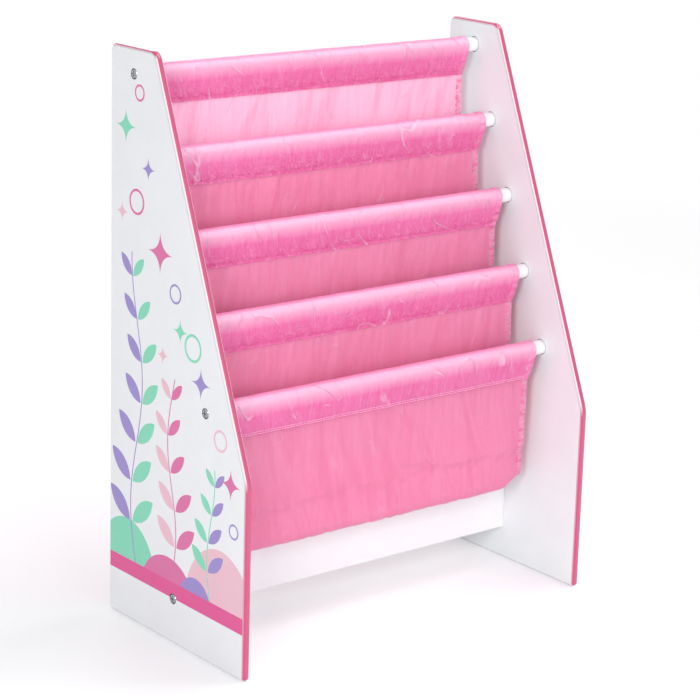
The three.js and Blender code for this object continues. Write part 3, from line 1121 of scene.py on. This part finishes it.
@dataclass
class Sling:
    """The sewn cloth: a sleeve on each rod, and a pocket from each seam to the next."""

    sleeve_half: float = SLEEVE_HALF
    seam_half: float = SEAM_HALF
    seam_drop: float = 0.030
    seam_rows: tuple[float, ...] = (0.0034,)
    lowest_seam_rows: tuple[float, ...] = (0.0036, 0.0011)
    cloth_radius: float = 0.0088
    lap: float = 0.0022
    lap_off: float = 0.0017
    rod_radius: float = 0.008
    skin: float = 0.00015
    leave_angle: float = 190.0
    leg_pull: float = 0.028
    leg_end: tuple[float, float] = (0.28, -0.96)
    held_above: float = 0.002
    held_near_seam: float = 0.001
    layer_off: float = 0.00065
    pocket_drop: float = 0.161
    tuck_in: float = 0.003
    wall_draw: float = 0.003
    wall_draw_length: float = 0.050
    thickness: float = 0.0005
    hem: float = HEM
    hem_thickness: float = 0.0012
    hem_step: float = 0.001
    hem_draw: float = 0.0006
    hem_opens_over: float = 0.008
    corner_lift: float = 0.012
    corner_width: float = 0.024
    fold_depth: float = 0.0013
    fold_count: float = 3.5
    fold_phase: float = 0.3
    front_fold: float = 0.35
    gather_depth: float = 0.0012
    gather_reach: float = 0.06
    gather_from: float = 0.0055
    gather_over: float = 0.010
    front_gather: float = 0.3
    seam_waver: float = 0.0005
    low_hold: float = 0.3
    low_from: float = 0.6
    low_over: float = 0.3
    sleeve_crinkle: float = 0.00035
    pocket_crinkle: float = 0.00025
    sleeve_grid: tuple[int, int] = (33, 105)
    pocket_grid: tuple[int, int] = (73, 83)
    rods: list[Vector] = field(default_factory=list, init=False)
    sleeve_length: float = field(default=0.0, init=False)

    def build(self) -> None:
        """Builds and dresses every sleeve and pocket."""
        boxes = [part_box(f"rod_{i}") for i in range(1, RODS + 1)]
        self.rods = [(low + high) / 2 for low, high in boxes]
        sleeve_cloth, lowest_cloth = SLEEVE_CLOTH.material(), LOWEST_SLEEVE_CLOTH.material()
        pocket_cloth, top_cloth = POCKET_CLOTH.material(), TOP_POCKET_CLOTH.material()
        thread, seam_thread, hem_thread = THREAD.material(), SEAM_THREAD.material(), HEM_THREAD.material()
        for i in range(RODS - 1):
            self.sleeve(i, self.seam_rows, sleeve_cloth, seam_thread)
        self.sleeve(RODS - 1, self.lowest_seam_rows, lowest_cloth, thread)
        for i in range(RODS - 1):
            self.pocket(i, pocket_cloth if i else top_cloth, hem_thread)

    def sleeve_line(self, steps: int) -> np.ndarray:
        """The sleeve's section: up one leg, over the rod and down the other.

        Args:
            steps: How many points.

        Returns:
            Points from the rod's middle: depth and height.
        """
        foot = np.array([-self.lap_off, -self.seam_drop])
        begin = math.radians(self.leave_angle)
        off = self.cloth_radius * np.array([math.cos(begin), math.sin(begin)])
        t = np.linspace(0, 1, 40)[1:-1, None]
        down = np.array([-math.sin(begin), math.cos(begin)])
        leg = (
            (2 * t**3 - 3 * t**2 + 1) * off
            + (t**3 - 2 * t**2 + t) * down * self.leg_pull
            + (3 * t**2 - 2 * t**3) * foot
            + (t**3 - t**2) * np.array(self.leg_end) * self.leg_pull
        )
        angles = np.linspace(begin, math.pi - begin, 60)
        arc = self.cloth_radius * np.stack([np.cos(angles), np.sin(angles)], 1)
        low = foot - (0, self.lap)
        line = np.concatenate([[low, foot], leg[::-1], arc, leg * (-1, 1), [foot * (-1, 1), low * (-1, 1)]])
        along = travelled(line)
        self.sleeve_length = float(along[-1])
        return read_at(np.linspace(0, along[-1], steps), along, line)

    def sleeve_sheet(self, index: int) -> ClothGrid:
        """Forms one sleeve round its rod: let down, crinkled, gathered and clear of the rod.

        Args:
            index: Which rod, from 0.

        Returns:
            The sheet.
        """
        centre = self.rods[index]
        rows, columns = self.sleeve_grid
        line = self.sleeve_line(rows)
        across = np.linspace(-1, 1, columns)
        drop = np.clip(-line[:, 1] / self.seam_drop, 0, 1)
        half = self.sleeve_half - (self.sleeve_half - self.seam_half) * drop
        points = np.zeros((rows, columns, 3))
        points[..., 0] = half[:, None] * across[None, :]
        points[..., 1] = centre.y + line[:, 0][:, None]
        points[..., 2] = centre.z + line[:, 1][:, None]
        flat = np.zeros((rows, columns, 2))
        flat[..., 0] = across[None, :] * self.sleeve_half + 0.5 + index
        flat[..., 1] = np.linspace(0, self.sleeve_length, rows)[:, None] - self.sleeve_length / 2
        sheet = ClothGrid(points, flat)
        held = (line[:, 1] > self.held_above) | (line[:, 1] < -self.seam_drop + self.held_near_seam)
        sheet.points = SLEEVE_SETTLING.run(sheet, np.repeat(held.astype(float)[:, None], columns, 1))
        sheet = sheet.finer()
        self.crinkle(sheet, self.sleeve_crinkle, seed=index * 7.3)
        self.gather(sheet, seed=index * 3.1)
        self.pucker(sheet, seed=index + 0.4, free=np.ones(len(sheet.points)))
        away = sheet.points[..., 1:] - np.array([centre.y, centre.z])
        least = self.rod_radius + self.skin + self.half_thickness(sheet, np.ones(len(sheet.points)))
        sheet.points[..., 1:] += away * (np.maximum(least / np.linalg.norm(away, axis=2), 1) - 1)[..., None]
        return sheet

    def sleeve(
        self, index: int, seam_rows: tuple[float, ...], cloth: bpy.types.Material, thread: bpy.types.Material
    ) -> None:
        """Builds one sleeve with its seam.

        Args:
            index: Which rod, from 0.
            seam_rows: How far each row of seam stitches lies from the cloth's end.
            cloth: The cloth's material.
            thread: The thread's material.
        """
        sheet = self.sleeve_sheet(index)
        thing = self.thicken(sheet, f"sleeve_cloth_{index + 1}", np.ones(len(sheet.points)))
        normals = sheet.normals()
        normals *= np.sign(normals[len(normals) // 2, normals.shape[1] // 2, 2])
        inset = int(round(self.hem * (normals.shape[1] - 1) / (2 * self.sleeve_half)))
        lines = []
        for column in (inset, -1 - inset):
            up = normals[SLEEVE_SEWN, column]
            lines.append((sheet.points[SLEEVE_SEWN, column] + up * self.thickness, up))
        for from_end in seam_rows:
            for where in (from_end, self.sleeve_length - from_end):
                at = where / self.sleeve_length * (len(sheet.points) - 1)
                row, share = int(at), at - int(at)
                seam, up = (
                    values[row, SEAM_SEWN] * (1 - share) + values[row + 1, SEAM_SEWN] * share
                    for values in (sheet.points, normals)
                )
                lines.append((seam + up * self.thickness * 0.8, up))
        stitches = SEAM_STITCHES.sew(f"seam_stitches_{index + 1}", lines)
        dress(thing, cloth)
        dress(stitches, thread)
        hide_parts(f"rod_sleeve_{index + 1}")
        LOG.info("sleeve %d", index + 1)

    def pocket_line(self, index: int, steps: int) -> tuple[np.ndarray, np.ndarray, float]:
        """The pocket's section: down the back wall, round the bottom and up the front.

        Args:
            index: Which pocket, from 0.
            steps: How many points.

        Returns:
            Points in depth and height, how far each hangs as a share of its wall, and the line's length.
        """
        back, front = self.rods[index], self.rods[index + 1]
        back_y, front_y = back.y - self.layer_off, front.y + self.layer_off
        tops = (back.z - self.seam_drop + self.tuck_in, front.z - self.seam_drop + self.tuck_in)
        radius = (back_y - front_y) / 2 - self.wall_draw
        bend = front.z - self.pocket_drop + self.thickness + radius
        walls, hang = [], []
        for y, top, sign in ((back_y, tops[0], 1), (front_y, tops[1], -1)):
            fall = np.linspace(0, top - bend, 60)
            wall_y = y - sign * self.wall_draw * ease((fall - self.tuck_in) / self.wall_draw_length)
            walls.append(np.stack([wall_y, top - fall], 1)[::sign])
            hang.append((fall / (top - bend))[::sign])
        angles = np.linspace(0, math.pi, 26)[1:-1]
        middle = (back_y + front_y) / 2
        arc = np.stack([middle + radius * np.cos(angles), bend - radius * np.sin(angles)], 1)
        whole = np.concatenate([walls[0], arc, walls[1]])
        hangs = np.concatenate([hang[0], np.ones(len(arc)), hang[1]])
        along = travelled(whole)
        even = np.linspace(0, along[-1], steps)
        return read_at(even, along, whole), np.interp(even, along, hangs), float(along[-1])

    def pocket_sheet(self, index: int) -> tuple[ClothGrid, np.ndarray, float]:
        """Forms one pocket between its seams: let down, crinkled, puckered, and with each wall on its own side.

        Args:
            index: Which pocket, from 0.

        Returns:
            The sheet, how free each of its rows is of the seams, and the cloth's length.
        """
        rows, columns = self.pocket_grid
        line, hang, length = self.pocket_line(index, rows)
        across = np.linspace(0, 1, columns)
        x = (2 * across - 1) * self.seam_half
        fold = self.fold_depth * np.sin(2 * math.pi * (self.fold_count * across + self.fold_phase * index))
        lift = self.corner_lift * ease(1 - (self.seam_half - np.abs(x)) / self.corner_width)
        behind = ease((line[:, 0] - line[:, 0].min()) / np.ptp(line[:, 0]))
        folded = hang * (self.front_fold + (1 - self.front_fold) * behind)
        points = np.zeros((rows, columns, 3))
        points[..., 0] = x[None, :]
        points[..., 1] = line[:, 0][:, None] + fold[None, :] * folded[:, None]
        points[..., 2] = line[:, 1][:, None] + lift[None, :] * (hang**2)[:, None]
        from_end = np.minimum(np.linspace(0, length, rows), np.linspace(length, 0, rows))
        near_seam = np.exp(-from_end / self.gather_reach) * ease((from_end - self.gather_from) / self.gather_over)
        back, front = self.gathers(x, index), self.gathers(x, index + 1)
        gather = np.where(behind[:, None] > 0.5, -(back - back.min()), self.front_gather * (front - front.min()))
        points[..., 1] += self.gather_depth * near_seam[:, None] * gather
        flat = np.zeros((rows, columns, 2))
        flat[..., 0] = x[None, :] + 0.5 + index
        flat[..., 1] = np.linspace(0, length, rows)[:, None] + 1
        sheet = ClothGrid(points, flat)
        ends = np.zeros(rows)
        ends[:2] = ends[-2:] = 1.0
        low_hold = self.low_hold * ease((hang - self.low_from) / self.low_over)
        hold = np.maximum(ends, low_hold)[:, None] * np.ones(columns)[None, :]
        sheet.points = POCKET_SETTLING.run(sheet, hold)
        sheet = sheet.finer()
        self.crinkle(sheet, self.pocket_crinkle, seed=40 + index * 5.1)
        free = ease((refine(from_end, 0, False) - self.tuck_in) / self.hem_opens_over)
        self.pucker(sheet, seed=index + 9.1, free=free)
        own_side = self.half_thickness(sheet, free) + self.skin
        y = sheet.points[..., 1]
        back_y, front_y = self.rods[index].y - own_side, self.rods[index + 1].y + own_side
        at_back = refine(behind, 0, False)[:, None] > 0.5
        sheet.points[..., 1] = np.where(at_back, np.minimum(y, back_y), np.maximum(y, front_y))
        return sheet, free, length

    def pocket(self, index: int, cloth: bpy.types.Material, thread: bpy.types.Material) -> None:
        """Builds one pocket with its hems.

        Args:
            index: Which pocket, from 0.
            cloth: The cloth's material.
            thread: The thread's material.
        """
        sheet, free, length = self.pocket_sheet(index)
        thing = self.thicken(sheet, f"pocket_cloth_{index + 1}", free)
        normals = sheet.normals()
        inset = int(round(self.hem / (2 * self.seam_half / (sheet.points.shape[1] - 1))))
        lines = [(sheet.points[POCKET_SEWN, c], normals[POCKET_SEWN, c]) for c in (inset, -1 - inset)]
        stitches = HEM_STITCHES.sew(f"hem_stitches_{index + 1}", lines)
        dress(thing, cloth)
        dress(stitches, thread)
        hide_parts(f"pocket_sling_{index + 1}")
        LOG.info("pocket %d", index + 1)

    @staticmethod
    def gathers(x: np.ndarray, seam: int) -> np.ndarray:
        """How the cloth is drawn up along a seam, in broad folds and in small ones, at each place across."""
        return wander_along(x, 42, 2.3 + seam) * 1.5 + wander_along(x, 90, 7.7 + seam) * 0.5

    @staticmethod
    def crinkle(sheet: ClothGrid, depth: float, seed: float) -> None:
        """Presses soft small creases into a sheet.

        Args:
            sheet: The sheet, whose points change.
            depth: The creases' depth.
            seed: Which creases.
        """
        normals = sheet.normals()
        rows, columns = sheet.points.shape[:2]
        flat = sheet.flat.reshape(-1, 2)
        leaning = np.stack([flat[:, 0] + 0.45 * flat[:, 1], flat[:, 1] * 0.6], 1)
        soft = wander(leaning, 42, seed)
        sharp = 1 - 2 * np.abs(wander(leaning, 70, seed + 3.7))
        relief = (0.6 * soft + 0.4 * sharp).reshape(rows, columns, 1)
        sheet.points += normals * relief * depth

    def gather(self, sheet: ClothGrid, seed: float) -> None:
        """Gathers a sleeve a little along its seam, which leaves its lower edge uneven.

        Args:
            sheet: The sleeve, whose points change.
            seed: Which gathers.
        """
        normals = sheet.normals()
        from_seam = np.abs(self.sleeve_length / 2 - np.abs(sheet.flat[:, :1, 1]) - self.lap)
        near = np.exp(-from_seam / SEAM_RIPPLE.reach)
        x = sheet.points[:1, :, 0]
        drift = wander_along(x[0], SEAM_RIPPLE.drift_scale, seed)
        wave = SEAM_RIPPLE.read(x, drift) * 0.6 + wander_along(x[0], 190, seed + 1)
        sheet.points += normals * (near * wave * SEAM_RIPPLE.depth)[..., None]
        sheet.points[..., 2] += near * wander_along(x[0], 60, seed + 2)[None, :] * self.seam_waver

    def pucker(self, sheet: ClothGrid, seed: float, free: np.ndarray) -> None:
        """Draws up the hems along both side edges.

        Args:
            sheet: The sheet, whose points change.
            seed: Which ripple.
            free: How free each row is, 0 where a seam holds it flat.
        """
        normals = sheet.normals()
        near = (1 - ease(sheet.from_side() / HEM_RIPPLE.reach)) * free[:, None]
        along = sheet.flat[..., 1]
        drift = wander_along(along[:, 0], HEM_RIPPLE.drift_scale, seed)[:, None]
        ripple = HEM_RIPPLE.read(along, drift) * (0.7 + 0.5 * drift)
        sheet.points += normals * (HEM_RIPPLE.depth * near * ripple)[..., None]
        sheet.points[..., 0] -= np.sign(sheet.points[..., 0]) * near * self.hem_draw * (1 + ripple)

    def doubled(self, sheet: ClothGrid, free: np.ndarray) -> np.ndarray:
        """1 where the cloth is folded double for its hems and no seam presses it flat, and 0 elsewhere."""
        return (1 - ease((sheet.from_side() - self.hem) / self.hem_step)) * free[:, None]

    def half_thickness(self, sheet: ClothGrid, free: np.ndarray) -> np.ndarray:
        """Half of the cloth's thickness at each point, where each row is free of the seams by so much."""
        return (self.thickness + (self.hem_thickness - self.thickness) * self.doubled(sheet, free)) / 2

    def thicken(self, sheet: ClothGrid, name: str, free: np.ndarray) -> bpy.types.Object:
        """Makes the sheet a thin solid, doubled along its hems.

        Args:
            sheet: The sheet.
            name: The piece's name.
            free: How free each row is, 0 where a seam presses the hem flat.

        Returns:
            The piece.
        """
        thing = sheet.mesh(name)
        group = thing.vertex_groups.new(name="hem")
        for index, value in enumerate(self.doubled(sheet, free)[sheet.row, sheet.column]):
            if value > 0:
                group.add([index], float(value), "REPLACE")
        wall = thing.modifiers.new("wall", "SOLIDIFY")
        wall.thickness = self.hem_thickness
        wall.offset = 0
        wall.vertex_group = group.name
        wall.thickness_vertex_group = self.thickness / self.hem_thickness
        settle_modifiers(thing)
        pick(thing)
        bpy.ops.object.shade_smooth_by_angle(angle=math.radians(50))
        self.mark_outside(sheet, thing)
        return thing

    @staticmethod
    def mark_outside(sheet: ClothGrid, thing: bpy.types.Object) -> None:
        """Marks the points of a thickened sheet's outer skin, for its material.

        Args:
            sheet: The sheet.
            thing: The piece made from it, whose points come once for each skin.
        """
        at = np.zeros(len(thing.data.vertices) * 3, np.float32)
        thing.data.vertices.foreach_get("co", at)
        row, column = (np.tile(way, 2) for way in (sheet.row, sheet.column))
        lifted = at.reshape(-1, 3) - sheet.points[row, column]
        outside = (lifted * sheet.normals()[row, column]).sum(axis=1) > 0
        mark = thing.data.attributes.new(OUTER_SKIN, "FLOAT", "POINT")
        mark.data.foreach_set("value", outside.astype(np.float32))


@dataclass(frozen=True)
class Woodwork:
    """The panels, the cross board, the rods and the hardware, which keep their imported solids."""

    bored_for: tuple[str, ...] = ("rod_1", "rod_2", "rod_3", "rod_4", "rod_5", "board_screw_left", "board_dowel_left")

    def build(self, nodes: dict[str, bpy.types.Object]) -> None:
        """Gives each carried-over solid its finish.

        Args:
            nodes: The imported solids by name.
        """
        made = {f.name: f.material() for f in (BOARD, ROD, PLATED, BEECH)}
        middles = [sum(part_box(name), Vector()) / 2 for name in self.bored_for]
        made[PANEL.name] = PANEL.material([Spot(m.y, m.z) for m in middles])
        for name, node in nodes.items():
            finish = self.finish_of(name)
            if finish is None:
                continue
            node.data.materials.clear()
            node.data.materials.append(made[finish.name])
            LOG.info("%s in %s", name, finish.name)

    @staticmethod
    def finish_of(name: str) -> BoardFinish | CoatFinish | WoodFinish | None:
        """Finds a solid's finish.

        Args:
            name: The solid's name.

        Returns:
            Its finish, or None for cloth, which new pieces stand for.
        """
        starts = {"side_panel": PANEL, "cross_board": BOARD, "board_dowel": BEECH}
        for start, finish in starts.items():
            if name.startswith(start):
                return finish
        if any(word in name for word in ("screw", "insert", "nut")):
            return PLATED
        return ROD if name.startswith("rod_") and "sleeve" not in name else None


@dataclass(frozen=True)
class Lamp:
    """A square soft lamp that faces the shelf."""

    name: str
    place: Place
    size: float
    power: float
    aim: Place = (0.0, 0.0, 0.3)

    def hang(self) -> None:
        """Hangs the lamp."""
        light = bpy.data.lights.new(self.name, "AREA")
        light.size = self.size
        light.energy = self.power
        lamp = bpy.data.objects.new(self.name, light)
        bpy.context.scene.collection.objects.link(lamp)
        lamp.location = self.place
        lamp.rotation_mode = "QUATERNION"
        lamp.rotation_quaternion = (Vector(self.aim) - Vector(self.place)).to_track_quat("-Z", "Y")


LAMPS = (
    Lamp("top_softbox", (1.0, -0.4, 2.3), 1.5, 28.0),
    Lamp("left_front_softbox", (-1.97, -1.36, 1.05), 0.82, 23.5),
    Lamp("front_softbox", (-0.15, -1.9, 0.9), 1.5, 11.5),
    Lamp("back_softbox", (0.6, 2.4, 1.2), 2.0, 26.0),
)


@dataclass(frozen=True)
class Studio:
    """The floor, the light and the camera."""

    floor_size: float = 6.0
    floor_colour: Colour = linear(236, 236, 238)
    floor_glow: float = 0.16
    floor_fades_from: float = 1.1
    floor_fades_to: float = 2.3
    all_round: float = 0.45
    camera_at: Place = (-1.4795, -1.8085, 0.9264)
    azimuth: float = -39.095
    elevation: float = 13.839
    roll: float = 1.662
    lens: float = 118.86
    sensor: float = 36.0
    shift_y: float = -0.1

    def build(self) -> None:
        """Builds the whole studio."""
        bpy.context.scene.view_settings.view_transform = "Standard"
        self.floor()
        self.world()
        for lamp in LAMPS:
            lamp.hang()
        self.camera()

    def floor(self) -> None:
        """Lays the pale floor, which keeps the shelf's shadow."""
        deselect()
        bpy.ops.mesh.primitive_plane_add(size=self.floor_size)
        floor = bpy.context.active_object
        floor.name = "floor"
        pad = Pad(bpy.data.materials.new("pale_floor"))
        diffuse = pad.put("BsdfDiffuse", {"Color": self.floor_colour})
        glow = pad.sum("MULTIPLY", pad.seen(), self.floor_glow)
        bright = pad.put("Emission", {"Color": (1, 1, 1, 1), "Strength": glow})
        near = pad.put("AddShader", {0: diffuse.outputs[0], 1: bright.outputs[0]})
        away = pad.arrow("LENGTH", pad.coordinates.outputs["Object"])
        fade = pad.span(away, self.floor_fades_from, self.floor_fades_to)
        clear = pad.put("BsdfTransparent", {})
        fading = pad.put("MixShader", {0: fade, 1: near.outputs[0], 2: clear.outputs[0]})
        floor.data.materials.append(pad.finish(fading))

    def world(self) -> None:
        """Lights all round, with a white background."""
        pad = Pad(bpy.data.worlds.new("studio"))
        bpy.context.scene.world = pad.owner
        strength = pad.span(pad.seen(), 0.0, 1.0, self.all_round, 1.0)
        background = pad.put("Background", {0: (1, 1, 1, 1), 1: strength})
        pad.put("OutputWorld", {0: background.outputs[0]})

    def camera(self) -> None:
        """Sets the camera at the photograph's viewing angle."""
        azimuth, elevation, roll = (math.radians(a) for a in (self.azimuth, self.elevation, self.roll))
        back = Vector(
            (
                math.sin(azimuth) * math.cos(elevation),
                -math.cos(azimuth) * math.cos(elevation),
                math.sin(elevation),
            )
        )
        level = (-back).cross(Vector((0, 0, 1))).normalized()
        upright = level.cross(-back)
        right = math.cos(roll) * level + math.sin(roll) * upright
        up = -math.sin(roll) * level + math.cos(roll) * upright
        data = bpy.data.cameras.new("camera")
        data.lens = self.lens
        data.sensor_width = self.sensor
        data.shift_y = self.shift_y
        camera = bpy.data.objects.new("camera", data)
        bpy.context.scene.collection.objects.link(camera)
        turn = Matrix((right, up, back)).transposed()
        camera.matrix_world = Matrix.Translation(self.camera_at) @ turn.to_4x4()
        bpy.context.scene.camera = camera


def main() -> None:
    """Builds the shelf's looks and the studio round it."""
    logging.basicConfig(level=logging.INFO, format="%(message)s")
    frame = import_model()
    Woodwork().build(frame["nodes"])
    Sling().build()
    Studio().build()


if __name__ == "__main__":
    main()
